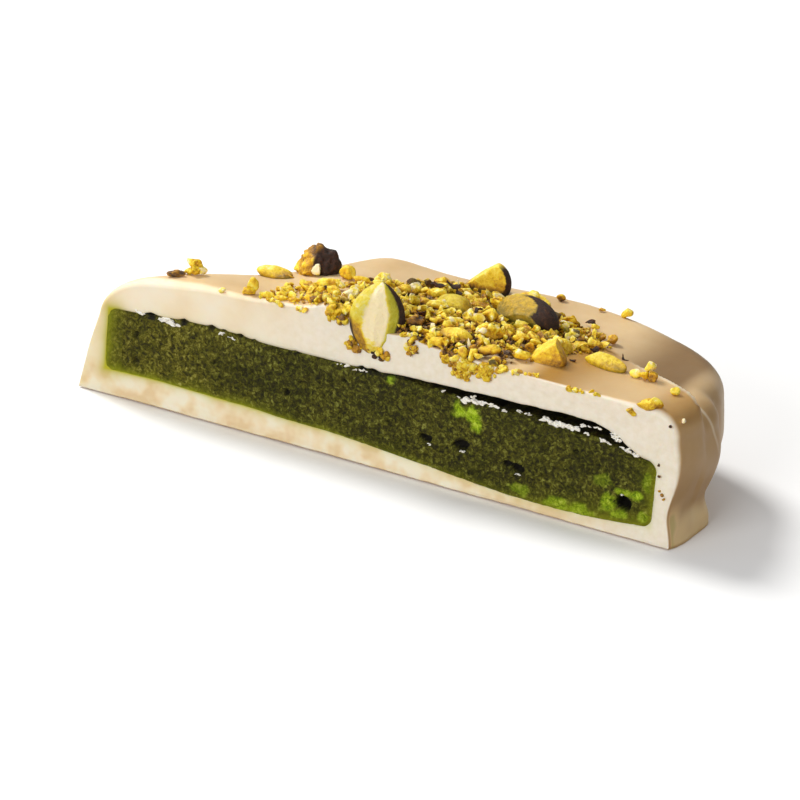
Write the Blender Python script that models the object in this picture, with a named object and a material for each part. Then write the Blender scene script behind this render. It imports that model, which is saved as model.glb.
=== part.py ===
# One cut half of a pistachio toffee: a soft green pistachio slab in a poured white chocolate coat,
# with chopped pistachio pressed into the top before the chocolate set.
# Metres, +Z up. +X runs along the cut, the flat cut face looks towards -Y, the underside lies on Z = 0.

import math
import random

import bmesh
import bpy
from mathutils import Euler, Vector

mm = 0.001

# Where the modelling point (left end of the cut, on the underside) lies from the part's origin.
startX = -31.69 * mm
startY = -12.17 * mm

# Plan of the coat, in mm from the left end of the cut: right side with its two poured lobes,
# back edge, and the long slant that runs back to the cut.
rightSide = [(63.9, 0), (64.4, 3), (64.5, 6.2), (64.3, 8.6), (62.95, 10.9), (62.65, 13.4), (60.7, 17.8),
             (56.8, 21.2)]
backSide = [(56.8, 21.2), (50, 23.8), (42.5, 24.9), (35, 24.4), (28, 23.4), (21.6, 20.8)]
leftSide = [(21.6, 20.8), (17, 16.6), (12, 11.2), (7.4, 6.2), (3.2, 2.4), (0.9, 0)]

# Height of the poured top along the cut, as (x, z) in mm, and soft swells on it as (x, y, radius, rise) in mm.
topLine = [(0, 12.7), (2.8, 12.9), (5, 13.3), (7, 13.65), (12, 14.25), (17, 14.3), (20.5, 14.65), (23, 14.8),
           (28, 14.5), (34, 14.2), (40, 14.05), (46, 13.9), (57, 13.9), (61, 13.95), (65, 13.9)]
swells = [(13.5, 8, 4.8, -0.7), (22, 19, 4, 0.5), (30, 20, 4.5, -0.4), (46, 20, 6, 0.15)]
rearFall = 1.0 * mm        # the top runs lower towards the back
shoulderRadius = 2.8 * mm
leftShoulder = 4.2 * mm    # rounder where it thins out to the left
shoulderStart = 0.56       # share of the wall's rows below the shoulder
leftStand = 1.2 * mm       # the left wall stands out from its plan
leftDraft = 1.5 * mm       # and spreads by this much more towards its foot
# How far the right wall stands out, in mm, by its level: a flared foot, a waist, then a belly.
rightWallLine = [(0, 0.4), (0.07, 0.36), (0.28, -0.2), (0.42, 0.05), (0.55, 0.45), (0.68, 0.7), (0.84, 0.65),
                 (0.95, 0.35), (1, 0.2)]
waistDepth = 0.3 * mm      # the waist is this much deeper a little way behind the cut
waistLevel = 0.26
stepDepth = 1.25 * mm      # the front lobe ends in a crest, and the rear lobe starts this much lower

# The slab and the hollow that holds it.
slabTopLine = [(1, 9.2), (4, 9.4), (8, 9.85), (12, 10.1), (15, 10.1), (19, 9.85), (25, 10.0), (31, 10.05),
               (36, 9.8), (41, 9.45), (44, 9.6), (48, 9.75), (52, 9.6), (56, 9.3), (60, 8.7), (63, 8.3)]
slabBottomLine = [(1, 2.7), (3.2, 2.75), (7, 2.9), (10.5, 2.85), (14.5, 2.75), (18, 2.75), (21, 2.55), (26, 2.5),
                  (31, 2.25), (36, 1.85), (42, 1.4), (47, 1.05), (53, 0.95), (58, 1.35), (62.5, 1.8)]
# The coat has lifted off the slab over its right half: height of the gap by x, in mm.
creviceLine = [(31, 0), (34, 0.5), (37, 0.75), (40, 1.1), (44, 1.2), (48, 1.1), (52, 1.45), (55, 1.6),
               (57.2, 1.4), (58.6, 0.8), (59.6, 0)]
slabCorner = 1.0 * mm
cornerStart = 0.6          # share of the slab's rows that stand straight
rightWall = 1.6 * mm
backWall = 2.2 * mm
leftWall = 0.1 * mm
clearance = 0.3 * mm

# Large pieces of pistachio: centre in mm from the left end of the cut, length, width and height in mm, and
# the turn on the surface in degrees.
kernels = [
    (18.3, 11.0, 4.6, 3.3, 3.7, 12), (33.2, 19.8, 5.0, 3.2, 3.9, -4), (41.2, 12.9, 7.0, 4.2, 4.0, -14),
    (47.6, 4.8, 3.9, 3.0, 3.4, 8), (34.6, 9.7, 4.6, 2.4, 2.3, -6), (52.5, 7.4, 4.9, 1.9, 1.7, -12),
    (15.0, 8.1, 3.4, 1.8, 1.5, 6), (57.2, 6.1, 2.6, 2.0, 2.1, 40), (59.8, 0.9, 3.5, 1.6, 1.3, 4),
    (38.3, 2.9, 3.3, 1.9, 1.7, 14), (22.2, 11.0, 2.1, 1.8, 1.9, 60), (9.2, 2.8, 2.3, 2.0, 2.6, 15),
    (50.2, 15.3, 1.8, 1.5, 1.7, 0), (47.9, 20.4, 1.6, 1.4, 1.6, 25), (16.4, 1.1, 1.6, 1.6, 2.2, 0),
    (38.7, 16.9, 5.4, 2.8, 3.4, 4),
]
# The half kernel that stands upright in the rim, with its split face a little in front of the cut.
rimKernelPlace = (31.05, 0.75, 15.3)
rimKernelSize = (5.4, 3.0, 7.3)
rimKernelTilt = (-5, 3, 2)

# Rows cut along X, Y and Z.
coatCuts = (28, 10, 9)
slabCuts = (14, 4, 9)

crumbCount = 125
crumbSeed = 11


def smooth(t):
    t = min(max(t, 0.0), 1.0)
    return t * t * (3 - 2 * t)


def along(points, t):
    """A smooth curve through the points, in metres; t runs from 0 to 1."""
    last = len(points) - 1
    t = min(max(t, 0.0), 1.0) * last
    i = min(int(t), last - 1)
    f = t - i
    p = [Vector(point) * mm for point in points]
    p = [2 * p[0] - p[1]] + p + [2 * p[last] - p[last - 1]]
    a, b, c, d = p[i:i + 4]
    curve = (2 * a - 5 * b + 4 * c - d) * f ** 2 + (3 * b - a - 3 * c + d) * f ** 3
    return b + ((c - a) * f + curve) / 2


outline = rightSide + backSide[1:] + leftSide[1:]
rightEnd = (len(rightSide) - 1) / (len(outline) - 1)
leftEnd = 1 - (len(leftSide) - 1) / (len(outline) - 1)
normalSpan = 0.9 / (len(outline) - 1)
rightSquare = 1.7 / (len(outline) - 1)
leftSquare = 2.7 / (len(outline) - 1)


def outward(t):
    """The way out of the plan at t, square to the cut at both of its ends."""
    run = along(outline, t + normalSpan) - along(outline, t - normalSpan)
    normal = Vector((run.y, -run.x)).normalized()
    if t < 0.5:
        return Vector((1, 0)).lerp(normal, smooth(t / rightSquare)).normalized()
    return Vector((-1, 0)).lerp(normal, smooth((1 - t) / leftSquare)).normalized()


def profile(points, x, soften=1.0):
    """The height of a line of points at x, rounded off over the length of soften on both sides."""
    total = 0
    for step in (-1, -0.5, 0, 0.5, 1):
        at = min(max(x + step * soften, points[0][0]), points[-1][0])
        i = max(n for n in range(len(points) - 1) if points[n][0] <= at)
        (x0, z0), (x1, z1) = points[i:i + 2]
        total += z0 + (z1 - z0) * (at - x0) / (x1 - x0)
    return total / 5


def coatTop(x, y):
    """Height of the poured top: a little lower to the back, with soft swells and the front lobe's crest."""
    x, y = x / mm, y / mm
    height = profile(topLine, x) * mm - rearFall * smooth((y - 6) / 11)
    for swellX, swellY, radius, rise in swells:
        height += rise * mm * math.exp(-((x - swellX) ** 2 + (y - swellY) ** 2) / radius ** 2)
    height += 0.1 * mm * math.sin(x / 5.3 + y / 4.1) * smooth(y / 5)
    behind = y - 7.2 - 0.54 * (60 - x)
    reach = min(max((x - 47) / 10, 0), 1) ** 1.3
    fall = smooth(behind / 0.9 + 0.3) * math.exp(-max(behind, 0) / 5.5)
    return height + reach * (0.12 * mm * math.exp(-(behind / 1.1) ** 2) - stepDepth * fall)


def shoulderAt(x):
    """Radius of the poured edge."""
    return shoulderRadius + (leftShoulder - shoulderRadius) * smooth((22 - x / mm) / 14)


def levelAndTurn(c):
    """How far up the straight wall a row is, 0 to 1, and how far it has turned round the shoulder."""
    row = (c + 1) / 2
    return min(row / shoulderStart, 1), max(row - shoulderStart, 0) / (1 - shoulderStart) * math.pi / 2


def coatWall(t, c):
    """How far the coat's wall stands out at t on row c: foot, waist and belly, then the shoulder."""
    level, turn = levelAndTurn(c)
    leftness = smooth((t - 0.78) / 0.17)
    rear = smooth((t - 0.17) / 0.07)
    front = profile(rightWallLine, level, 0.06)
    back = 0.35 * (math.sin(math.pi * level) + math.exp(-(level / 0.14) ** 2)) - 1.6 * (1 - smooth(level / 0.7))
    stand = (front + (back - front) * rear) * mm * (1 - leftness)
    stand -= waistDepth * math.exp(-((level - waistLevel) / 0.13) ** 2) * smooth(t / 0.1) * (1 - rear)
    stand += (leftStand + leftDraft * (1 - level) ** 1.1) * leftness
    return stand - (shoulderAt(along(outline, t).x) + leftStand * leftness) * (1 - math.cos(turn))


def cornerBend(c):
    """How far a row of the slab has turned round its corner."""
    return max(abs(c) - cornerStart, 0) / (1 - cornerStart) * math.pi / 2


def slabWall(t, c, gap):
    """How far the slab's wall lies inside the coat's plan, thinnest at the left tip, with round corners."""
    wall = backWall + (rightWall - backWall) * smooth((rightEnd - t) / 0.2)
    wall += (leftWall - backWall) * smooth((t - 0.7) / 0.3)
    return -wall - gap - slabCorner * (1 - math.cos(cornerBend(c)))


def plan(a, b, c, wall):
    """Place across the plan: a from left (-1) to right (1), b from the cut (0) to the back (1)."""
    def rim(t):
        return along(outline, t) + outward(t) * wall(t, c)

    share = (a + 1) / 2
    right = rim(b * rightEnd)
    left = rim(1 - b * (1 - leftEnd))
    back = rim(leftEnd + (rightEnd - leftEnd) * share)
    front = rim(1).lerp(rim(0), share)
    corners = rim(1).lerp(rim(0), share).lerp(rim(leftEnd).lerp(rim(rightEnd), share), b)
    return front.lerp(back, b) + left.lerp(right, share) - corners


def coatPoint(a, b, c):
    """A point of the coat: rows run up the wall, round the shoulder and across the top."""
    x, y = plan(a, b, c, coatWall)
    level, turn = levelAndTurn(c)
    radius = shoulderAt(x)
    shoulder = coatTop(x, y) - radius
    return Vector((x, y, shoulder * level + radius * math.sin(turn)))


def slabPoint(a, b, c, gap, lift):
    """A point of the hollow, or with a gap all round of the slab in it. The lift adds the crevice above."""
    x, y = plan(a, b, c, lambda t, row: slabWall(t, row, gap))
    low = profile(slabBottomLine, x / mm) * mm - clearance / 2 + gap
    high = (profile(slabTopLine, x / mm) + lift * profile(creviceLine, x / mm)) * mm + clearance / 2 - gap
    straight = 1 - 2 * slabCorner / (high - low)
    reach = straight * min(abs(c) / cornerStart, 1) + (1 - straight) * math.sin(cornerBend(c))
    return Vector((x, y, (low + high) / 2 + math.copysign(reach, c) * (high - low) / 2))


def bodyFromCube(name, cuts, place):
    """A cube cut into rows along each axis, with every point moved to its place on the body."""
    body = bmesh.new()
    bmesh.ops.create_cube(body, size=2)
    for axis in range(3):
        rows = [edge for edge in body.edges if abs((edge.verts[0].co - edge.verts[1].co)[axis]) > 1]
        bmesh.ops.subdivide_edges(body, edges=rows, cuts=cuts[axis], use_grid_fill=True)
    for vert in body.verts:
        a, b, c = vert.co
        vert.co = place(a, (b + 1) / 2, c) + Vector((startX, startY, 0))
    bmesh.ops.recalc_face_normals(body, faces=body.faces)
    mesh = bpy.data.meshes.new(name)
    body.to_mesh(mesh)
    body.free()
    mesh.shade_smooth()
    return bpy.data.objects.new(name, mesh)


def mergeCutFace(coating):
    """Make the flat cut one face, ready for the hollow."""
    body = bmesh.new()
    body.from_mesh(coating.data)
    flat = [face for face in body.faces if all(abs(vert.co.y - startY) < 0.001 * mm for vert in face.verts)]
    bmesh.ops.dissolve_faces(body, faces=flat)
    body.to_mesh(coating.data)
    body.free()


def chip(name, size, points, rng):
    """A broken piece of kernel: the hull of points spread over an egg-shaped body."""
    body = bmesh.new()
    for n in range(points):
        height = 1 - 2 * (n + 0.5) / points
        turn = n * 2.4 + rng.uniform(-0.5, 0.5)
        ring = math.sqrt(1 - height * height)
        reach = rng.uniform(0.82, 1.08)
        spot = Vector((ring * math.cos(turn) * size[0], ring * math.sin(turn) * size[1], height * size[2]))
        body.verts.new(spot * reach * mm / 2)
    bmesh.ops.convex_hull(body, input=body.verts)
    bmesh.ops.delete(body, geom=[vert for vert in body.verts if not vert.link_faces], context="VERTS")
    bmesh.ops.recalc_face_normals(body, faces=body.faces)
    mesh = bpy.data.meshes.new(name)
    body.to_mesh(mesh)
    body.free()
    return bpy.data.objects.new(name, mesh)


def crumbChance(x, y):
    """How thick the crumbs lie: a dense heap on the middle, bare to the back, with a thin tail to the right."""
    back = min(16.5, 0.95 * (x - 10.5))
    heap = smooth((x - 14) / 4) * smooth((47 - x) / 5) * smooth((back - y) / 3)
    tail = 0.6 * math.exp(-((x - 50) / 3.2) ** 2 - ((y - 11) / 2.6) ** 2)
    front = 0.3 * math.exp(-((x - 50) / 4) ** 2 - ((y - 3) / 2.5) ** 2)
    return heap + tail + front


def crumbSpots():
    """Centres and sizes of the crumbs, clear of the large pieces."""
    rng = random.Random(crumbSeed)
    spots = []
    while len(spots) < crumbCount:
        x = rng.uniform(13, 58)
        y = rng.uniform(0.6, 18)
        size = rng.uniform(1.0, 2.3)
        chance = rng.random()
        near = any(math.hypot(x - k[0], y - k[1]) < (k[2] + size) * 0.36 for k in kernels)
        near = near or math.hypot(x - 31, (y - 0.8) * 1.6) < 2.4
        near = near or any(math.hypot(x - s[0], y - s[1]) < (s[2] + size) * 0.36 for s in spots)
        if chance < crumbChance(x, y) and not near:
            spots.append((x, y, size))
    return spots


def layOnTop(piece, x, y, height, spin, lift):
    """Rest a piece on the coat with its lower part sunk in."""
    ground = coatTop(x * mm, y * mm)
    piece.location = (startX + x * mm, startY + y * mm, ground + height * lift * mm)
    piece.rotation_euler = spin


def material(name, colour, roughness):
    made = bpy.data.materials.new(name)
    made.use_nodes = True
    shader = made.node_tree.nodes["Principled BSDF"]
    shader.inputs["Base Color"].default_value = (*colour, 1)
    shader.inputs["Roughness"].default_value = roughness
    shader.inputs["Metallic"].default_value = 0
    return made


def cut(body, cutter):
    boolean = body.modifiers.new("hollow", "BOOLEAN")
    boolean.operation = "DIFFERENCE"
    boolean.object = cutter


def fuse(body, pieces):
    """Join all pieces to the body in one Boolean, and remove them."""
    boolean = body.modifiers.new("nuts", "BOOLEAN")
    boolean.operation = "UNION"
    boolean.operand_type = "COLLECTION"
    boolean.collection = pieces
    bpy.context.view_layer.update()
    evaluated = body.evaluated_get(bpy.context.evaluated_depsgraph_get())
    joined = bpy.data.meshes.new_from_object(evaluated)
    body.modifiers.clear()
    body.data = joined
    for piece in list(pieces.objects):
        bpy.data.objects.remove(piece)
    bpy.data.collections.remove(pieces)


def collection(name):
    made = bpy.data.collections.new(name)
    bpy.context.scene.collection.children.link(made)
    return made


def makeNuts():
    pieces = collection("nut pieces")
    rng = random.Random(crumbSeed + 1)
    for number, (x, y, length, width, height, turn) in enumerate(kernels):
        piece = chip(f"kernel {number}", (length, width, height), 24, rng)
        layOnTop(piece, x, y, height, Euler((0, 0, math.radians(turn))), 0.3)
        pieces.objects.link(piece)
    for number, (x, y, size) in enumerate(crumbSpots()):
        spin = Euler([rng.uniform(0, 2 * math.pi) for _ in range(3)])
        piece = chip(f"crumb {number}", (size, size * 0.8, size * 0.7), 12, rng)
        layOnTop(piece, x, y, size, spin, 0.16)
        pieces.objects.link(piece)
    rimKernel = chip("rim kernel", rimKernelSize, 36, rng)
    rimKernel.location = Vector(rimKernelPlace) * mm + Vector((startX, startY, 0))
    rimKernel.rotation_euler = [math.radians(angle) for angle in rimKernelTilt]
    pieces.objects.link(rimKernel)
    return pieces


def main():
    for old in list(bpy.data.objects):
        bpy.data.objects.remove(old)
    toffee = collection("pistachio toffee")
    cutters = collection("cutters")

    coating = bodyFromCube("coating", coatCuts, coatPoint)
    mergeCutFace(coating)
    toffee.objects.link(coating)
    coating.data.materials.append(material("white chocolate", (0.86, 0.69, 0.43), 0.38))

    def hollow(a, b, c):
        # The first row stands out in front of the cut, and the rest match the slab's rows.
        inner = max(b * (slabCuts[1] + 2) - 1, 0) / (slabCuts[1] + 1)
        return slabPoint(a, inner, c, 0, 1) - Vector((0, mm * (b == 0), 0))

    cutter = bodyFromCube("hollow cutter", (slabCuts[0], slabCuts[1] + 1, slabCuts[2]), hollow)
    cutters.objects.link(cutter)
    cutter.hide_render = True
    cutter.display_type = "WIRE"
    cut(coating, cutter)
    fuse(coating, makeNuts())

    filling = bodyFromCube("filling", slabCuts, lambda a, b, c: slabPoint(a, b, c, clearance, 0))
    toffee.objects.link(filling)
    filling.data.materials.append(material("pistachio slab", (0.075, 0.085, 0.02), 0.75))


main()
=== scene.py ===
import math
import random

import bmesh
import bpy
import numpy as np
from mathutils import Euler, Matrix, Vector


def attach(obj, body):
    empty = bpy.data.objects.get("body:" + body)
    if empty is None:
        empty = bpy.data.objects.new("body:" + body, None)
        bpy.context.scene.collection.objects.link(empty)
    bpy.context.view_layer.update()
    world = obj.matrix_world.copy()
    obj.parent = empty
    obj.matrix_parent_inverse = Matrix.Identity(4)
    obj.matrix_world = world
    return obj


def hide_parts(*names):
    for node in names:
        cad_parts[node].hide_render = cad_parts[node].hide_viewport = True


# One cut piece of pistachio toffee: white chocolate coat, green pistachio slab, chopped pistachio on top.
# Forms are worked out in millimetres from the left end of the cut.

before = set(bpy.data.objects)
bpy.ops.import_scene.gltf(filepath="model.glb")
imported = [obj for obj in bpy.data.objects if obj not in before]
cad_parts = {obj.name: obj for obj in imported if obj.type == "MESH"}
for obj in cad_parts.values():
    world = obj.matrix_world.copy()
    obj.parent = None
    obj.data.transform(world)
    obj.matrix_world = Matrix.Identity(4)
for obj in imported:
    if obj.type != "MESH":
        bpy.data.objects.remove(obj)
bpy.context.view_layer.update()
mm = 0.001
origin = np.array([-31.69, -12.17, 0])  # the left end of the cut in the frame, in mm


# small helpers

def smooth(t):
    t = np.clip(t, 0, 1)
    return t * t * (3 - 2 * t)


def rise(x, start, run):
    # from 0 at start to 1 a run further on, or back where the run is negative
    return smooth((x - start) / run)


def mix(a, b, share):
    return a + (b - a) * share


def unit(vectors):
    return vectors / np.linalg.norm(vectors, axis=1)[:, None]


def bumps(points, size, seed):
    # a smooth random field from -1 to 1 whose lumps are about this many mm across
    table = np.random.default_rng(seed).uniform(-1, 1, (32, 32, 32))
    q = np.asarray(points, float) / size + 100.5
    cell = np.floor(q).astype(int)
    f = q - cell
    f = f * f * (3 - 2 * f)
    total = 0
    for corner in range(8):
        step = np.array([corner & 1, corner >> 1 & 1, corner >> 2 & 1])
        weight = np.prod(np.where(step, f, 1 - f), axis=1)
        spot = (cell + step) % 32
        total = total + weight * table[spot[:, 0], spot[:, 1], spot[:, 2]]
    return total


def grain(points, size, seed, octaves=3):
    # lumps with finer lumps on them
    total = 0
    for n in range(octaves):
        total = total + bumps(points, size / 2 ** n, seed + n) / 2 ** n
    return total


def profile(points, x, soften=1):
    # the height of a line of points at x, rounded off over soften on both sides
    xs, zs = zip(*points)
    return sum(np.interp(x + step * soften, xs, zs) for step in (-1, -0.5, 0, 0.5, 1)) / 5


# plan and height of the coat, as in the frame's solid

coat = {
    "rightSide": [(63.9, 0), (64.4, 3), (64.5, 6.2), (64.3, 8.6), (62.95, 10.9), (62.65, 13.4), (60.7, 17.8),
                  (56.8, 21.2)],
    "backSide": [(56.8, 21.2), (50, 23.8), (42.5, 24.9), (35, 24.4), (28, 23.4), (21.6, 20.8)],
    "leftSide": [(21.6, 20.8), (17, 16.6), (12, 11.2), (7.4, 6.2), (3.2, 2.4), (0.9, 0)],
    "top": [(0, 12.7), (2.8, 12.9), (5, 13.3), (7, 13.65), (12, 14.25), (17, 14.3), (20.5, 14.65), (23, 14.8),
            (28, 14.5), (34, 14.2), (40, 14.05), (46, 13.9), (57, 13.9), (61, 13.95), (65, 13.9)],
    "swells": [(13.5, 8, 4.8, -0.7), (22, 19, 4, 0.5), (30, 20, 4.5, -0.4), (46, 20, 6, 0.15)],
    "rearFall": 1,  # the top runs lower towards the back
    "lumps": [(25.4, 0.7, 1.7, 1), (34.6, 0.6, 1.5, 0.45), (28.5, 1.2, 1.6, 0.3)],  # pushed up by kernels
    "shoulder": 2.8,  # radius of the poured edge
    "leftShoulder": 4.2,
    "shoulderStart": 0.56,
    "leftStand": 1.2,  # the left wall stands out from its plan
    "leftDraft": 1.5,  # and spreads by this much more towards its foot
    "rightWall": [(0, 0.4), (0.07, 0.36), (0.28, -0.2), (0.42, 0.05), (0.55, 0.45), (0.68, 0.7), (0.84, 0.65),
                  (0.95, 0.35), (1, 0.2)],
    "waistDepth": 0.3,  # the waist is this much deeper a little way behind the cut
    "waistLevel": 0.26,
    "stepDepth": 1.35,  # from the front lobe's crest down to the rear lobe
    # how round the cut edge is along x, in mm, at the top and at the foot
    "rimTop": [(0, 0.9), (7, 1), (18, 0.5), (26, 0.2), (50, 0.2), (57, 0.35), (61.5, 0.8), (63.5, 0.65),
               (65, 0.45)],
    "rimFoot": [(-2, 0.08), (1, 0.15), (4, 0.22), (60, 0.18), (65, 0.12)],
    # rows of points from the cut to the back: close together at the rim, in mm, then opening out
    "rimRows": [0, 0.01, 0.03, 0.07, 0.13, 0.2, 0.3, 0.42, 0.56, 0.72, 0.9, 1.15, 1.5],
    "depth": 24,
    "backRows": 46,
    "alongRows": 230,
    "upRows": 60,
    "bandRows": 22,
    "hollowRows": 8,
}
outline = np.array(coat["rightSide"] + coat["backSide"][1:] + coat["leftSide"][1:], float)
outlineSteps = len(outline) - 1
rightEnd = (len(coat["rightSide"]) - 1) / outlineSteps
leftEnd = 1 - (len(coat["leftSide"]) - 1) / outlineSteps
normalSpan = 0.9 / outlineSteps
rightSquare = 1.7 / outlineSteps
leftSquare = 2.7 / outlineSteps


def along(t):
    # a smooth curve through the outline's points, t from 0 to 1
    ends = np.vstack([2 * outline[0] - outline[1], outline, 2 * outline[-1] - outline[-2]])
    t = np.clip(t, 0, 1) * outlineSteps
    i = np.minimum(t.astype(int), outlineSteps - 1)
    f = (t - i)[:, None]
    a, b, c, d = ends[i], ends[i + 1], ends[i + 2], ends[i + 3]
    return b + ((c - a) * f + (2 * a - 5 * b + 4 * c - d) * f ** 2 + (3 * b - a - 3 * c + d) * f ** 3) / 2


def outward(t):
    run = along(t + normalSpan) - along(t - normalSpan)
    side = np.stack([np.where(t < 0.5, 1, -1), 0 * t], 1)
    share = np.where(t < 0.5, smooth(t / rightSquare), smooth((1 - t) / leftSquare))
    return unit(mix(side, unit(np.stack([run[:, 1], -run[:, 0]], 1)), share[:, None]))


def coatTop(x, y):
    height = profile(coat["top"], x) - coat["rearFall"] * rise(y, 6, 11)
    for swellX, swellY, radius, lift in coat["swells"] + coat["lumps"]:
        height = height + lift * np.exp(-((x - swellX) ** 2 + (y - swellY) ** 2) / radius ** 2)
    height = height + 0.1 * np.sin(x / 5.3 + y / 4.1) * smooth(y / 5)
    behind = behindCrest(x, y)
    reach = np.clip((x - 47) / 11, 0, 1.15) ** 1.3
    fall = smooth(behind / 0.6 + 0.3) * np.exp(-np.maximum(behind, 0) / 4.5)
    ridge = 0.12 * np.exp(-(behind / 0.8) ** 2)
    return height + reach * (ridge - coat["stepDepth"] * fall)


def behindCrest(x, y):
    # mm behind the front lobe's crest
    return y - 7.2 - 0.54 * (60 - x)


def shoulderAt(x):
    return mix(coat["shoulder"], coat["leftShoulder"], rise(x, 22, -14))


def levelAndTurn(c):
    row = (c + 1) / 2
    start = coat["shoulderStart"]
    return np.minimum(row / start, 1), np.maximum(row - start, 0) / (1 - start) * math.pi / 2


def coatWall(t, c):
    # foot, waist and belly, then the rounded shoulder
    level, turn = levelAndTurn(c)
    leftness = rise(t, 0.78, 0.17)
    rear = rise(t, 0.17, 0.07)
    front = profile(coat["rightWall"], level, 0.06)
    back = 0.35 * (np.sin(math.pi * level) + np.exp(-(level / 0.14) ** 2)) - 1.6 * (1 - smooth(level / 0.7))
    stand = mix(front, back, rear) * (1 - leftness)
    waist = np.exp(-((level - coat["waistLevel"]) / 0.13) ** 2) * smooth(t / 0.1) * (1 - rear)
    stand = stand - coat["waistDepth"] * waist
    stand = stand + (coat["leftStand"] + coat["leftDraft"] * (1 - level) ** 1.1) * leftness
    return stand - (shoulderAt(along(t)[:, 0]) + coat["leftStand"] * leftness) * (1 - np.cos(turn))


def plan(a, b, c, wall):
    # a runs from left (-1) to right (1), b from the cut (0) to the back (1)
    def rim(t):
        t = np.zeros_like(a) + t
        return along(t) + outward(t) * wall(t, c)[:, None]

    share = ((a + 1) / 2)[:, None]
    right = rim(b * rightEnd)
    left = rim(1 - b * (1 - leftEnd))
    back = rim(leftEnd + (rightEnd - leftEnd) * share[:, 0])
    front = mix(rim(1), rim(0), share)
    corners = mix(front, mix(rim(leftEnd), rim(rightEnd), share), b)
    return mix(front, back, b) + mix(left, right, share) - corners


def coatPoint(a, b, c):
    x, y = plan(a, b, c, coatWall).T
    level, turn = levelAndTurn(c)
    radius = shoulderAt(x)
    return np.column_stack([x, y, (coatTop(x, y) - radius) * level + radius * np.sin(turn)])


# the slab and the hollow round it

slab = {
    "top": [(1, 9.2), (4, 9.4), (8, 9.85), (12, 10.1), (15, 10.1), (19, 9.85), (25, 10), (31, 10.05),
            (36, 9.8), (41, 9.45), (44, 9.6), (48, 9.75), (52, 9.6), (56, 9.3), (60, 8.7), (63, 8.3)],
    "bottom": [(1, 2.7), (3.2, 2.75), (7, 2.9), (10.5, 2.85), (14.5, 2.75), (18, 2.75), (21, 2.55), (26, 2.5),
               (31, 2.25), (36, 1.85), (42, 1.4), (47, 1.05), (53, 0.95), (58, 1.35), (62.5, 1.8)],
    # the coat has lifted off over the right half
    "crevice": [(31, 0), (34, 0.5), (37, 0.75), (40, 1.1), (44, 1.2), (48, 1.1), (52, 1.45), (55, 1.6),
                (57.2, 1.4), (58.6, 0.8), (59.6, 0)],
    # small gaps above it further left: x, half width and height
    "gaps": [(5.9, 0.7, 0.28), (9.7, 0.45, 0.26), (12.9, 0.45, 0.25), (14.3, 0.25, 0.14), (16.2, 0.35, 0.2),
             (17.8, 0.2, 0.16), (22.4, 0.3, 0.1), (29.8, 0.4, 0.28), (31, 0.6, 0.24)],
    "corner": 1,
    "cornerStart": 0.6,
    "rightWall": 1.7,
    "backWall": 2.2,
    "leftWall": 0.2,
    "alongRows": 480,
    "upRows": 68,
    "depthRows": [0, 0.008, 0.02, 0.04, 0.08, 0.2, 0.4, 0.7, 1],
    "grainSize": 0.42,  # mm across a ground nut crumb
    "grainHeight": 0.15,
}


def cornerBend(c):
    return np.maximum(np.abs(c) - slab["cornerStart"], 0) / (1 - slab["cornerStart"]) * math.pi / 2


def slabWall(t, c):
    wall = slab["backWall"] + (slab["rightWall"] - slab["backWall"]) * smooth((rightEnd - t) / 0.2)
    wall = wall + (slab["leftWall"] - slab["backWall"]) * rise(t, 0.7, 0.3)
    return -wall - slab["corner"] * (1 - np.cos(cornerBend(c)))


def lowAt(x):
    return profile(slab["bottom"], x)


def highAt(x, lift=0):
    # top of the slab, or with a lift of 1 the underside of the coat over it
    gap = profile(slab["crevice"], x)
    for middle, half, height in slab["gaps"]:
        gap = gap + height * np.exp(-((x - middle) / half) ** 2)
    return profile(slab["top"], x) + lift * gap


def slabPoint(a, b, c, lift=0):
    x, y = plan(a, b, c, slabWall).T
    low, high = lowAt(x), highAt(x, lift)
    straight = 1 - 2 * slab["corner"] / (high - low)
    reach = straight * np.minimum(np.abs(c) / slab["cornerStart"], 1) + (1 - straight) * np.sin(cornerBend(c))
    return np.column_stack([x, y, (low + high) / 2 + np.copysign(reach, c) * (high - low) / 2])



# meshes from grids of points

def newObject(name, data):
    made = bpy.data.objects.new(name, data)
    bpy.context.scene.collection.objects.link(made)
    return made


def toObject(name, points, faces, rounded=True):
    # a piece from points in mm from the left end of the cut
    mesh = bpy.data.meshes.new(name)
    mesh.from_pydata(((points + origin) * mm).tolist(), [], faces.tolist())
    if rounded:
        mesh.shade_smooth()
    return newObject(name, mesh)


def pointsOf(piece):
    flat = np.zeros(len(piece.data.vertices) * 3, np.float32)
    piece.data.vertices.foreach_get("co", flat)
    return flat.reshape(-1, 3).astype(float) / mm - origin


def setPoints(piece, points):
    piece.data.vertices.foreach_set("co", ((points + origin) * mm).astype(np.float32).ravel())
    piece.data.update()


def setFields(piece, **fields):
    # numbers on every point, for the materials to read
    for name, values in fields.items():
        field = piece.data.attributes.get(name) or piece.data.attributes.new(name, "FLOAT", "POINT")
        field.data.foreach_set("value", (np.zeros(len(field.data)) + values).astype(np.float32))


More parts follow.
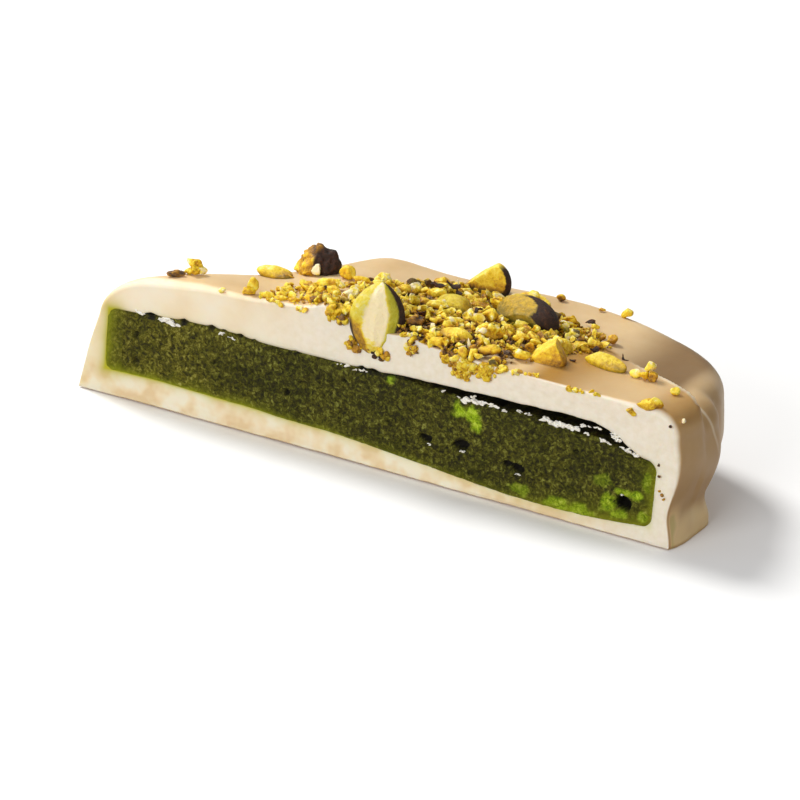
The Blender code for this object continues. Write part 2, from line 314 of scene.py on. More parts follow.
def welded(name, sheets):
    # one closed mesh from grids of points, each with whether it closes round and its share of cut face
    points, faces, cuts, count = [], [], [], 0
    for rows, closed, cut in sheets:
        high, wide = rows.shape[:2]
        index = np.arange(high * wide).reshape(high, wide) + count
        if closed:
            index = np.hstack([index, index[:, :1]])
        corners = [index[:-1, :-1], index[:-1, 1:], index[1:, 1:], index[1:, :-1]]
        faces.append(np.stack(corners, -1).reshape(-1, 4))
        points.append(rows.reshape(-1, 3))
        cuts.append((np.zeros((high, wide)) + cut).ravel())
        count += high * wide
    piece = toObject(name, np.vstack(points), np.vstack(faces))
    setFields(piece, cut=np.concatenate(cuts))
    body = bmesh.new()
    body.from_mesh(piece.data)
    bmesh.ops.remove_doubles(body, verts=body.verts, dist=1e-7)
    bmesh.ops.recalc_face_normals(body, faces=body.faces)
    body.to_mesh(piece.data)
    body.free()
    return piece


def loopOf(values):
    # once round the cut section: along the foot, up the right, back along the top, down the left
    foot = np.linspace(-1, 1, values["alongRows"] + 1)[:-1]
    side = np.linspace(-1, 1, values["upRows"] + 1)[:-1]
    a = np.concatenate([foot, np.ones_like(side), -foot, -np.ones_like(side)])
    c = np.concatenate([-np.ones_like(foot), side, np.ones_like(foot), -side])
    return a, c


def grid(values, pointAt, b, *lift):
    # a sheet of points from (-1, -1) to (1, 1), at the cut for a b of 0 and at the back for 1
    high, wide = values["upRows"] + 1, values["alongRows"] + 1
    c, a = np.meshgrid(np.linspace(-1, 1, high), np.linspace(-1, 1, wide), indexing="ij")
    return pointAt(a.ravel(), b, c.ravel(), *lift).reshape(high, wide, 3)


# the coat

def rimRadius(points):
    # how round the cut edge is: soft where warm chocolate slumped at both ends, crisp between
    x, _, z = points.T
    top, low = [np.interp(x, *zip(*coat[name])) for name in ("rimTop", "rimFoot")]
    ragged = 1 + 0.4 * bumps(points, 1.3, 5) * rise(x, 18, 10) * rise(x, 60, -5)
    return mix(low, top, rise(z, 4, 7)) * ragged


def makeCoat():
    a, c = loopOf(coat)
    edge = coatPoint(a, 0, c)
    run = np.roll(edge, -1, 0) - np.roll(edge, 1, 0)
    inward = unit(np.stack([-run[:, 2], 0 * a, run[:, 0]], 1))
    radius = rimRadius(edge)

    near = np.array(coat["rimRows"]) / coat["depth"]
    sides, faceShares = [], []
    for b in np.concatenate([near, np.linspace(near[-1], 1, coat["backRows"] + 1)[1:]]):
        row = coatPoint(a, b, c)
        short = np.clip(radius - row[:, 1], 0, None)
        inset = radius - np.sqrt(np.clip(radius ** 2 - short ** 2, 0, None))
        sides.append(row + inward * inset[:, None])
        faceShares.append(1 - smooth(row[:, 1] / (0.9 * radius)))

    # the cut face, a band from the rim to the hollow
    hollow = slabPoint(a, 0, c, 1)
    x = hollow[:, 0]
    crumbled = rise(x, 2, 2) * rise(x, 61.5, -1.5) * (0.2 + 0.8 * rise(x, 30, 12))
    hollow[:, 2] += 0.1 * grain(hollow, 1.7, 21) * crumbled
    band = []
    for v in np.linspace(0, 1, coat["bandRows"] + 1):
        row = mix(sides[0], hollow, v)
        crumbly = mix(0.25, 1, smooth((row[:, 0] - 14) / 25))
        crumbly = np.maximum(crumbly, 0.8 * smooth((4 - row[:, 2]) / 2))
        relief = crumbly * (0.035 * grain(row, 1.1, 31) + 0.03 * grain(row, 0.3, 41, 2))
        relief = (relief + 0.06 * grain(row, 3.4, 51, 2)) * smooth(v / 0.15) + 0.05 * rise(v, 0.9, 0.1)
        row[:, 1] = np.maximum(row[:, 1] + relief + 0.02, -0.12)
        band.append(row)
    sides[0] = band[0]

    deep = [slabPoint(a, b, c, 1) for b in np.linspace(0, 1, coat["hollowRows"] + 1)]
    deep[0] = band[-1]
    piece = welded("coat", [
        (np.array(sides), True, np.array(faceShares)),
        (grid(coat, coatPoint, 1), False, 0),
        (np.array(band), True, 1),
        (np.array(deep), True, 1),
        (grid(coat, slabPoint, 1, 1), False, 1)])
    points = pointsOf(piece)
    markCoat(piece, points)

    # uneven foot and faint ripples on the poured skin
    x, y, z = points.T
    skin = rise(y, 0.3, 0.8) * rise(x, 3, 4) * (slabDistance(points) > 1.2)
    foot = np.exp(-(z / 1.1) ** 2)
    away = unit(np.stack([x - 33, y - 9, 0 * x], 1))
    ripple = foot * 0.22 * bumps(points, 3.5, 7) + 0.05 * bumps(points, 4.5, 8)
    points = points + away * (skin * ripple)[:, None]
    points[:, 2] += skin * rise(z, 9, 3) * (0.05 * bumps(points, 3.2, 9) + 0.012 * grain(points, 0.8, 10))
    lift = 0.04 + 0.05 * bumps(points, 5, 12) + 0.04 * bumps(points, 0.8, 13)
    points[:, 2] += foot * rise(y, 1.5, -1.5) * rise(x, 2, 2) * lift * (z < 3)
    setPoints(piece, points)

    # painted glow: green round the slab, where its light shows through the thin chocolate
    wide = mix(0.65, 0.3, rise(x, 1.5, 3)) + 0.12 * bumps(points, 1.4, 14)
    strength = np.where(z > 8, mix(1, 0.12, rise(x, 1.8, 2)), mix(1, 0.3, rise(x, 8, 34)))
    setFields(piece, seep=np.exp(-slabDistance(points) / wide) * strength * (y < 0.8))
    return piece


# what the chocolate's material reads from the points
coatFields = ("cut", "seep", "cream", "behind", "lobe", "foot", "gully", "tan", "blotch")


def markCoat(piece, points):
    # where the chocolate is creamy, thin, stained or pale, and where shade, highlights and glow are painted on
    x, y, z = points.T
    # down the wall the crest runs further back
    behind = behindCrest(x, y) - 1.2 * np.clip(13.4 - z, 0, None) ** 0.65
    # painted shade in the gully behind the crest
    gully = 0.83 * smooth(behind / 0.6) * rise(x, 48.5, 8) * (1 - 0.75 * rise(x, 59, 2.5))
    # darker tan round the nuts: partly oil, partly painted shade
    tan = rise(x, 46, 3) * rise(z, 11.5, 1.5) * rise(behind, 0.5, -0.5)
    tan = tan * (0.16 + 0.8 * np.exp(-((x - 49.5) / 4.5) ** 2) + 0.6 * rise(x, 58.5, 4))
    reach = 2.9 + 0.9 * bumps(points, 1.6, 15)
    thin = 0.95 * smooth((reach - y) / 1.9) * rise(z, 5, -2.2)
    # the thin foot by the cut, and a painted highlight low down the right wall
    foot = rise(x, 61.5, 1.2) * rise(y, 0.25, 0.3) * np.maximum(thin, 0.75 * smooth((reach - z) / 1.8))
    setFields(piece, foot=foot,
              cream=1 - rise(x, 12, 16),
              behind=behind * mix(1, 0.55, rise(z, 13.2, 0.4)) + 0.1,
              # where the painted highlight along the crest runs
              lobe=rise(x, 53, 4) * rise(z, 6, 5),
              gully=gully * rise(z, 8, 4),
              tan=np.maximum(tan, 0.25 * rise(x, 61, 3)),
              blotch=rise(z, 4, -1.5) * rise(x, 62, -12))


def slabDistance(points):
    # how far a point of the cut face lies outside the slab's section
    x, _, z = points.T
    left = outline[-1][0] + slab["leftWall"]
    right = outline[0][0] - slab["rightWall"]
    dx = np.maximum(np.maximum(left - x, x - right), 0)
    dz = np.maximum(np.maximum(lowAt(x) - z, z - highAt(x)), 0)
    return np.hypot(dx, dz)


# the slab

# x and z of the middle, radius across and up, depth, in mm
pores = [
    (37.3, 4.5, 0.72, 0.5, 1), (41.2, 4.9, 0.75, 0.5, 1), (46.3, 4.2, 0.5, 0.4, 0.8),
    (47.5, 3.95, 0.8, 0.5, 1.1), (59.05, 3.4, 0.85, 0.85, 1.9), (4.6, 4.2, 0.3, 0.4, 0.4),
    (4.4, 7.2, 0.3, 0.3, 0.4), (21.8, 5.4, 0.35, 0.3, 0.5), (28, 8.2, 0.28, 0.25, 0.4),
    (53.5, 7.4, 0.25, 0.2, 0.4), (33.2, 5.2, 0.22, 0.2, 0.4), (13.4, 6.4, 0.25, 0.2, 0.4),
]
# bright green where a whole kernel was ground in: x, z, radius across and up, strength
greens = [
    (40.8, 8.4, 0.9, 0.8, 1), (42.3, 8.3, 1, 0.8, 1), (42.8, 7.4, 0.65, 0.9, 0.95), (33.1, 9.5, 0.4, 0.35, 0.9),
    (60.5, 4.6, 0.75, 0.6, 0.9), (57.4, 3, 1, 1.1, 0.75), (58.9, 4.6, 0.9, 0.4, 0.7),
    (58.6, 2.2, 1.2, 0.5, 0.6), (52.2, 1.6, 1.5, 0.7, 0.6), (54.6, 1.5, 1.6, 0.7, 0.6),
    (48.2, 2, 1.4, 0.6, 0.4), (61.3, 6.2, 0.5, 1.4, 0.4), (56.6, 5.2, 1, 0.7, 0.3), (61.2, 2.6, 0.6, 0.6, 0.5),
]


def patches(spots, x, z, stretch, shift, soft):
    # ragged oval spots, each as deep or strong as its last number
    total = np.zeros(len(x))
    for spotX, spotZ, across, up, most in spots:
        away = np.hypot((x - spotX) / across, (z - spotZ) / up) * stretch + shift
        total = np.maximum(total, most * smooth((1.15 - away) / soft))
    return total


def makeSlab():
    a, c = loopOf(slab)
    sides = np.array([slabPoint(a, b, c) for b in slab["depthRows"]])
    piece = welded("slab", [
        (grid(slab, slabPoint, 0), False, 0),
        (sides, True, 0),
        (grid(slab, slabPoint, 1), False, 0)])

    points = pointsOf(piece)
    x, _, z = points.T.copy()
    low, high = lowAt(x), highAt(x)
    ends = np.minimum(x - 0.9 - slab["leftWall"], 63.8 - slab["rightWall"] - x)
    inside = np.clip(np.minimum(np.minimum(z - low, high - z), ends), 0, None)
    relief = slab["grainHeight"] * grain(points, slab["grainSize"], 61) + 0.14 * bumps(points, 2.6, 71)
    hollow = patches(pores, x, z, 1 + 0.4 * bumps(points, 0.45, 81), 0.25 * bumps(points, 0.8, 82), 0.55)
    upper = smooth((z - (low + high) / 2) / 1.5) * rise(x, 4, 6)
    worn = 0.2 * upper * smooth(1 - inside / 0.35)
    face = points[:, 1] < 0.01
    points[:, 1] += face * (0.08 + relief * smooth(inside / 0.3 + 0.3) + hollow + worn)
    top = z > high - 0.4
    points[:, 2] += top * 0.16 * grain(points, 0.9, 91) * rise(x, 3, 3) * (1 + 0.8 * rise(x, 36, 6))
    points[:, 2] += top * 0.2 * rise(x, 31, 2) * rise(x, 41, -3)
    setPoints(piece, points)

    # light gets through near the foot and the ends
    thin = np.clip(np.minimum(z - low, ends), 0, None)
    reach = np.where(x < 3, 0.75, 0.34) + 0.24 * bumps(points, 1.2, 95) + 0.4 * rise(x, 47, 6)
    glow = mix(1, 0.35, rise(x, 8, 30)) + 0.4 * rise(x, 47, 6)
    # painted shade: the slab's top is dark where the coat has lifted off
    right = rise(x, 33, 4)
    creviceShade = (highAt(x, 1) - high) * smooth((points[:, 1] - 0.3 * right) / mix(0.15, 0.6, right))
    creviceShade = smooth(creviceShade / mix(0.25, 0.5, right)) * (z > high - 0.5)
    creviceShade = np.clip(creviceShade * (0.88 + 0.5 * grain(points, 0.7, 99, 2)), 0, 1)
    setFields(piece,
              edge=glow * np.exp(-thin / np.clip(reach, 0.1, None)),
              # painted shade: dark in the pores' hollows and in the crevice
              pore=np.maximum(smooth(hollow / 0.6), creviceShade),
              green=patches(greens, x, z, 1, 0.4 * grain(points, 0.8, 97), 0.6),
              brown=0.85 * (1 - rise(x, 6, 15)))
    return piece


# chopped pistachio

# kernels: x, y, size, turn, sunk share, tone, green share, roughness, painted shade as how the tone grows browner
# along x, y and z, the planes (x, y, z, distance) that flats are cut by on a unit ball, and for some the plane that
# skin is left beyond, with 1 where skin lies on the flats too
kernels = [
    (33.1, 20, (5.4, 3, 4.8), -4, 0.26, 0.36, 0.1, 0.25, (0.15, 0, -0.2),
     [(-0.68, -0.1, 0.72, 0.36), (0.05, -0.98, 0.2, 0.5)], (0.97, 0.1, 0.2, 0.57, 0)),
    (41.2, 12.9, (7.4, 4.2, 4.3), -14, 0.25, 0.9, 0.4, 0.2, (0.15, 0, -0.35),
     [(-0.2, -0.6, 0.75, 0.8)], (0.72, -0.1, 0.69, 0.36, 0)),
    (38.9, 16.9, (5.6, 2.8, 3.8), 4, 0.3, 0.42, 0, 1.3, (0.1, 0, -0.2),
     [(0.1, -0.5, 0.86, 0.45), (-0.7, 0, 0.7, 0.55)]),
    (47.6, 4.8, (4.1, 3, 3.9), 8, 0.3, 0.42, 0, 0.2, (0.2, 0, -0.15),
     [(-0.62, -0.15, 0.77, 0.4), (0.1, -0.97, 0.2, 0.6), (0.86, 0.1, 0.5, 0.62)]),
    (18.3, 11.4, (4.9, 3.4, 4.1), 12, 0.27, 0.72, 0, 1.3, (0.3, 0, 0.2),
     [(-0.8, -0.45, 0.4, 0.55), (0.1, -0.8, 0.6, 0.7)], (0.85, -0.35, 0.2, 0.22, 1)),
    (34.6, 10.1, (4.4, 2.3, 2.6), -6, 0.25, 0.54, 0.45, 0.15, (0.1, 0, -0.15), [(0.9, 0, 0.3, 0.75)]),
    (52.5, 7.4, (5, 1.9, 1.8), -12, 0.3, 0.42, 0.35, 0.15, (0.2, 0, -0.15), [(0.35, -0.4, 0.8, 0.55)]),
    (15, 8.6, (3.9, 1.8, 1.45), 6, 0.22, 0.46, 0.25, 0.25, (0.2, 0, -0.3), [(0.3, -0.6, 0.75, 0.6)]),
    (38.2, 2.9, (3.6, 1.9, 2), 14, 0.28, 0.42, 0.1, 0.15, (-0.1, 0, -0.15), [(-0.4, -0.3, 0.86, 0.7)]),
    (60.5, 0.5, (2.9, 1.5, 1.5), 4, 0.3, 0.42, 0, 0.7, (0, 0, -0.3), [(-0.75, 0, 0.66, 0.35)]),
]
# broken pieces: x, y, height above the coat, width and height seen from the front right, tone, and
# roughness and lean where they aren't 1 and 0
pieces = [
    (7.6, 1.6, 0.3, 2, 0.8, 0.72, 0.9, -4), (16.5, 1.1, 0.9, 1.3, 1.9, 0.34, 0.9),
    (17.6, 1.2, 0.2, 0.6, 0.4, 0, 0.8), (16.2, 0.9, 0.3, 1.4, 0.9, 0.32),
    (18.3, 0.9, 0.25, 1.6, 0.7, 0.25, 1.2), (19.6, 1.4, 0.3, 1.2, 0.7, 0.35, 1.2),
    (18.6, 5.4, 0.2, 0.9, 0.5, 0.3), (20, 4.5, 0.2, 0.9, 0.5, 0.2), (16.6, 8.6, 0.2, 1.2, 0.5, 0.5),
    (19, 10, 0.7, 1.2, 1.2, -0.1, 0.5), (22.3, 4.6, 0.5, 0.7, 0.8, 0.3),
    (22.2, 10.4, 0.7, 1.7, 1.5, 0.36, 0.6, -10), (24.5, 9.2, 0.6, 2.2, 0.9, 0.42, 0.9, 8),
    (25.1, 9.9, 0.8, 0.7, 0.4, 0.85), (23.5, 6.5, 0.6, 1.3, 0.8, 0.08, 1, 20),
    (25.8, 4.3, 0.9, 2, 1.3, 0.1, 0.9, -35), (23, 1.4, 0.4, 1.4, 0.9, 0.33, 1.2),
    (20.1, 0.7, 0.2, 1.6, 0.5, 0.28, 1.2, 5), (21.4, 0.8, 0.2, 1.2, 0.5, 0.4), (20.2, 5.7, 0.3, 1.1, 0.6, 0.2),
    (33.8, 2.9, 0.9, 2.2, 1.5, 0.85, 1.3), (33.2, 8.7, 0.8, 2.4, 1, 0.22, 1, -10),
    (30.2, 12, 0.8, 1.3, 0.7, 0.3, 1.2), (32.4, 16.4, 0.8, 1.3, 0.8, 0.3, 1.2),
    (31.3, 17.3, 0.7, 1.1, 0.6, 0.4), (36.2, 12.6, 0.9, 2, 1, 0.62, 0.8, 5),
    (37.5, 13.7, 1.6, 1.6, 1.6, 0.48, 1.4), (35.2, 4.9, 0.6, 1.8, 0.8, 0.3, 1.3),
    (36.5, 5.9, 0.7, 2, 0.8, 0.14, 1.3), (37.6, 7.5, 0.7, 1.8, 0.7, 0.28, 1.3),
    (40.9, 5.4, 0.9, 2.9, 1.6, 0.32, 1.5, 10), (41.5, 8.1, 0.9, 1.1, 0.8, 0.3),
    (40.7, 1.1, 0.8, 0.4, 1.7, -0.35, 0.4, -15), (40.6, 4, 1.4, 0.9, 0.6, -0.1, 0.8),
    (43.7, 6.4, 0.9, 1.6, 0.9, 0.38), (45, 7, 0.7, 1.3, 0.7, 0.28), (42.6, 1.7, 0.7, 2.8, 1, 0.38, 0.4, -14),
    (44.4, 2.1, 0.8, 0.9, 0.6, 0.92), (45.3, 3.3, 0.6, 1.8, 1.1, 0.3, 1.1),
    (44.5, 15.4, 0.5, 1.9, 0.9, 0.22, 1.5), (46.7, 16.9, 0.4, 1, 0.6, 0.3), (49.6, 14.9, 0.6, 1.2, 1.2, 0.5),
    (47.3, 11.9, 0.4, 1.8, 0.9, 0.75, 1.5), (47.9, 15.4, 0.3, 1.7, 0.6, 0.38, 1.4),
    (49.2, 14.3, 0.2, 1.2, 0.4, 0.55), (40.5, 21.9, 0.35, 0.9, 0.7, 0.15, 0.8),
    (45.1, 21.9, 0.2, 0.7, 0.4, 0.25, 0.8), (47.7, 22.3, 0.4, 1.4, 1.1, 0.2, 0.9, -30),
    (35.4, 1.6, 0.6, 0.8, 0.8, 0.9), (34.9, 3.9, 0.5, 0.9, 0.5, 0.6), (56.2, 6.6, 0.35, 1.4, 0.9, 0.05, 0.8),
    (57.1, 6.4, 0.5, 1.1, 1.1, 0.3, 0.8), (58, 6.4, 0.45, 1.1, 1.1, 0.5, 0.8),
    (57.5, 6.7, 1.35, 1.2, 1.1, 0.2, 0.6), (61.3, 4.7, 0.35, 1, 0.9, 0.15, 0.6),
    (9.1, 2.9, 1, 1.7, 1.4, 0.36, 1.5), (8.4, 3, 0.4, 1.2, 0.9, 0.25, 1.2), (9.6, 3.2, 0.5, 1.1, 0.9, 0.1, 1.3),
    (8.9, 3, 0.4, 1.5, 0.8, 0.3, 1.3), (28.4, 10.4, 0.5, 2.2, 1.5, 0.35), (29.4, 17, 0.5, 2, 1.5, 0.5),
    (34.3, 13.2, 0.8, 2.2, 1.4, 0.35, 1, 20), (38.5, 9.6, 0.9, 2.2, 1.3, 0.4, 1.2, -20),
    (28.9, 3.6, 0.6, 1.8, 1.3, 0.35, 1, 10), (31.6, 8.3, 0.5, 2, 1.3, 0.45), (43.9, 10.9, 0.4, 1.6, 0.9, 0.4),
    (64, 1.2, -0.9, 0.55, 0.5, -0.4, 0.4),
]
# papery bits of dark skin: x, y, height above the coat, length, width, turn
skins = [
    (46.2, 17.4, 0.5, 1.9, 0.7, -10), (31.2, 13, 1.6, 1.8, 1.3, 10), (32.4, 13.9, 1.7, 1.8, 1.2, 40),
    (30.4, 13.6, 1.3, 1.3, 1, -30), (33.3, 13.2, 1.4, 1.3, 0.9, 0), (22.7, 5.2, 0.5, 1.1, 0.6, 0),
    (49.8, 10.3, 0.4, 1.1, 1, 60), (53, 10.6, 0.1, 1.1, 0.3, -20), (49.4, 6.4, 0.1, 1.6, 0.35, 0),
    (37, 10.6, 1.2, 1.4, 1, 70), (37.9, 10.9, 1.1, 1.3, 0.9, 0), (42.9, 8.7, 0.5, 2.2, 0.8, 10),
    (44.8, 8.9, 0.5, 1.6, 0.8, -10), (46.6, 9.6, 0.4, 1.3, 0.6, -20), (39.4, 3.3, 0.9, 0.9, 0.7, 20),
    (33.4, 5, 0.9, 1.3, 0.9, 10), (26.9, 2.4, 0.5, 0.7, 0.4, 30),
]
rimKernel = {
    "place": (30.7, 0.75, 15.3),
    "size": (5.5, 3.1, 7.5),
    "tilt": (-5, 3, 20),
    "flat": -0.74,  # where the split face lies across the half, of its half depth
    # crumbs and bits keep off it: x, y, squeeze along y, radius
    "clearOfCrumbs": (31, 0.8, 1.3, 3.7),
    "clearOfBits": (30.9, 0.3, 1.4, 2.3),
}
crumbs = {
    "backLine": [(14, 0), (15, 0.8), (20, 6.2), (24, 10.5), (28, 15), (31, 19), (36, 19.5), (45, 17.5), (50, 15.5),
                 (52, 12), (54, 8)],
    "rightLine": [(0, 45), (5, 48), (10, 50.5), (16, 51), (20, 48)],
    "count": 60,
    "seed": 11,
    "spacing": 0.33,  # of the two sizes
    "area": ((13, 54), (0.3, 20)),
    "skinned": 0.07,  # share of the crumbs with dark skin, and of the bits
    "bitsSkinned": 0.04,
    "bitArea": ((13, 56), (0.15, 20.5)),
    "facing": 26,  # degrees that the broken pieces are turned to the right
    "bitCount": 900,
    "bitSize": (0.3, 0.95),
    "powderCount": 4200,
    "powderSize": (0.12, 0.42),
    "heap": 0.8,  # how high the bits are piled in the middle, in mm
    "lowShade": 0.75,  # painted shade: how much browner they are at the bottom
    "lowShadeHeight": 1.1,
}
# crumbs spilled over the rim: x, z, half width and height of the patch, number, tone
spills = [
    (39.2, 13.5, 0.8, 0.6, 40, 0.62), (41, 13.2, 1.2, 0.9, 110, 0.42), (43.2, 13.2, 0.9, 0.7, 60, 0.4),
    (40.6, 12.2, 0.9, 0.4, 14, 0.45), (35.2, 13.6, 0.5, 0.7, 14, 0.55), (34.4, 14.7, 0.9, 0.2, 12, 0.4),
    (26.3, 14.9, 0.7, 0.5, 16, 0.45), (27.4, 14.4, 0.6, 0.4, 12, 0.62), (28.9, 12.4, 0.8, 0.5, 12, 0.55),
    (31.4, 11.9, 0.8, 0.25, 14, 0.95), (31.5, 12.1, 0.8, 0.25, 8, 0.5), (52.9, 13.8, 0.8, 0.1, 9, 0.35),
    (55.1, 13.9, 0.7, 0.1, 6, 0.35), (58.9, 13.3, 0.4, 0.25, 6, 0.5), (22.6, 14.5, 0.4, 0.15, 5, 0.35),
    (19.4, 14.6, 1.6, 0.1, 10, 0.4), (45.4, 13.9, 1, 0.2, 12, 0.4), (48, 14.2, 1, 0.15, 10, 0.45),
    (13.6, 14.2, 0.15, 0.1, 2, 0.35), (62.4, 8.5, 0.1, 0.1, 1, 0.95), (62.5, 7.2, 0.12, 0.12, 1, 0.95),
    (62.8, 5.9, 0.05, 0.05, 1, 0.5), (63.05, 5.5, 0.05, 0.05, 1, 0.6), (63.3, 5.15, 0.05, 0.05, 1, 0.5),
    (63.25, 12.7, 0.05, 0.05, 1, 0.95),
]


def crumbChance(x, y):
    back = np.interp(x, *zip(*crumbs["backLine"]))
    right = np.interp(y, *zip(*crumbs["rightLine"]))
    thin = 0.35 + 0.65 * rise(x, 23, 4)  # sparse at the left, with the coat showing
    return rise(x, 16.8, 2) * smooth((back - y) / 2.2 + 0.1) * smooth((right - x) / 3.5) * thin


def beside(x, y, spot):
    spotX, spotY, squeeze, radius = spot
    return math.hypot(x - spotX, (y - spotY) * squeeze) < radius


def crumbSpots():
    # crumbs between the broken pieces: x, y, size
    rng = random.Random(crumbs["seed"])
    large = [(x, y, 0.8 * size[0]) for x, y, size, *_ in kernels] + [(x, y, wide) for x, y, _, wide, *_ in pieces]
    across, deep = crumbs["area"]
    spots = []
    while len(spots) < crumbs["count"]:
        x, y, size, chance = rng.uniform(*across), rng.uniform(*deep), rng.uniform(0.8, 2), rng.random()
        near = any(beside(x, y, (*spot[:2], 1, (spot[2] + size) * crumbs["spacing"])) for spot in large + spots)
        if chance < crumbChance(x, y) and not near and not beside(x, y, rimKernel["clearOfCrumbs"]):
            spots.append((x, y, size))
    return spots


def flatten(points, grown, way, distance, soft=0.01):
    # knock one flat off a body, and mark where the grown surface is lost
    way = np.array(way) / np.linalg.norm(way)
    over = points @ way - distance
    return points - way * soft * np.logaddexp(0, over / soft)[:, None], np.where(over > -0.03, 0, grown)


def chop(points, rng, cuts, depth=(0.2, 0.8), grown=1):
    grown = np.zeros(len(points)) + grown
    for _ in range(cuts):
        points, grown = flatten(points, grown, rng.normal(size=3), rng.uniform(*depth))
    return points, grown


def roughen(points, grown, size, shift, rough=1):
    # broken flesh is granular, the grown surface only gently uneven; all in mm
    out = points / (np.linalg.norm(points, axis=1)[:, None] + 1e-9)
    relief = 0.11 * size * rough * grain(points + shift, 0.55 * size, 13, 2)
    relief = relief + mix(0.11, 0.03, grown) * rough * grain(points + shift, 0.42, 17) * min(size, 1.6)
    # painted shade: browner in the dents and paler on the bumps
    return points + out * relief[:, None], -1.4 * relief / max(min(size, 1.6), 0.5)


class Heap:
    # many small bodies in one mesh, with skin, tone and green on each point
    def __init__(self, fineness, seed):
        body = bmesh.new()
        bmesh.ops.create_icosphere(body, subdivisions=fineness, radius=1)
        self.ball = np.array([vert.co for vert in body.verts])
        self.ballFaces = np.array([[vert.index for vert in face.verts] for face in body.faces])
        body.free()
        self.rng = np.random.default_rng(seed)
        self.points, self.faces, self.looks = [], [], []

    def add(self, points, skin=0, tone=0.4, green=0):
        self.faces.append(self.ballFaces + len(self.points) * len(points))
        self.points.append(points)
        self.looks.append([np.zeros(len(points)) + look for look in (skin, tone, green)])

    def addOnCoat(self, points, x, y, up, *looks):
        self.add(points + [x, y, coatTop(x, y) + up], *looks)

    def toObject(self, name, rounded=True):
        points = np.vstack(self.points)
        x, y, z = points.T
        skin, tone, green = np.hstack(self.looks)
        # painted shade: browner low down between its neighbours
        lowShade = crumbs["lowShade"] * (1 - smooth((z - coatTop(x, y)) / crumbs["lowShadeHeight"])) * smooth(y / 0.4)
        lowShade = lowShade * (0.2 + 0.8 * rise(x, 24, 6) * rise(x, 47, -5))
        piece = toObject(name, points, np.vstack(self.faces), rounded)
        setFields(piece, skin=skin, tone=tone + lowShade, green=green)
        return piece


def turned(points, angles):
    return points @ np.array(Euler([math.radians(angle) for angle in angles]).to_matrix()).T


def colourOf(rng):
    # most crumbs are golden, some pale, a few olive or roasted brown, and every seventh is greener
    tone = float(rng.choice([0.1, 0.2, 0.3, 0.4, 0.55, 0.8], p=[0.08, 0.26, 0.3, 0.2, 0.1, 0.06]))
    return tone, 0.3 * (rng.random() < 0.15)


def makeKernels():
    heap = Heap(fineness=5, seed=7)
    for number, (x, y, size, turn, sunk, tone, green, rough, shadeWay, flats, *planes) in enumerate(kernels):
        points, grown = heap.ball, 1.0
        for *way, distance in flats:
            points, grown = flatten(points, grown, way, distance, 0.07)
        points, grown = chop(points, heap.rng, 2, (0.75, 0.9), grown)
        skin = 0
        for *way, distance, onFlats in planes:
            edge = 0.12 * grain(heap.ball + number, 0.5, 27, 2)
            skin = smooth((heap.ball @ np.array(way) - distance + edge) / 0.2) * np.maximum(grown, onFlats)
        # painted shade: browner on the side away from the light
        tone = tone + points @ np.array(shadeWay)
        points, dentShade = roughen(points * np.array(size) / 2, grown, 1.6, 10 * number, rough)
        heap.addOnCoat(turned(points, (0, 0, turn)), x, y, (0.5 - sunk) * size[2],
                       skin, tone + dentShade, green * mix(0.75, 1, grown))
    addRimKernel(heap)
    return heap.toObject("kernels")


def addRimKernel(heap):
    # a split half: pointed ends, a pale ridge down the flat face, greener bevels, dark skin round the back
    points = heap.ball.copy()
    s = points[:, 2].copy()
    points[:, :2] *= (1 - s ** 2 + 1e-6)[:, None] ** 0.2
    half = (1 - s ** 2 + 1e-6) ** 0.7
    rel = points[:, 0] / np.maximum(half, 0.05)
    bevel = np.clip(np.abs(rel + 0.04) - 0.48, 0, None)
    flat = rimKernel["flat"] + 0.75 * bevel ** 1.4 + 0.35 * s ** 4 - 0.05 * np.exp(-(rel / 0.12) ** 2)
    points[:, 1] = np.maximum(points[:, 1], flat)
    points = points * np.array(rimKernel["size"]) / 2
    points = points + 0.03 * np.stack([grain(points, 0.6, seed, 2) for seed in (3, 5, 9)], 1)
    wave = 0.1 * bumps(points, 1.5, 23)
    side = smooth((np.abs(rel + 0.04) - 0.31 + wave) / 0.2)
    left = side * (rel < 0)
    tone = mix(-0.12, 0.3, side) - 0.12 * left + 0.5 * left * smooth((0.1 - s + 2 * wave) / 0.5)
    tone = tone + 0.3 * (1 - side) * smooth((wave - 0.35 - s) / 0.4)
    green = side * mix(0.45, 0.85, rise(rel, 0.3, 0.3)) * (1 - 0.8 * left * rise(s, 0.1, -0.4))
    rightSkin = smooth((rel - 0.74 + 0.5 * wave) / 0.06)
    leftSkin = smooth((-rel - 0.88 + wave) / 0.08) * rise(s, 0.1, -0.3)
    skin = np.maximum(np.maximum(rightSkin, leftSkin), smooth((heap.ball[:, 1] + 0.1) / 0.15) * (rel > -0.6))
    heap.add(turned(points, rimKernel["tilt"]) + rimKernel["place"], skin, tone, green)


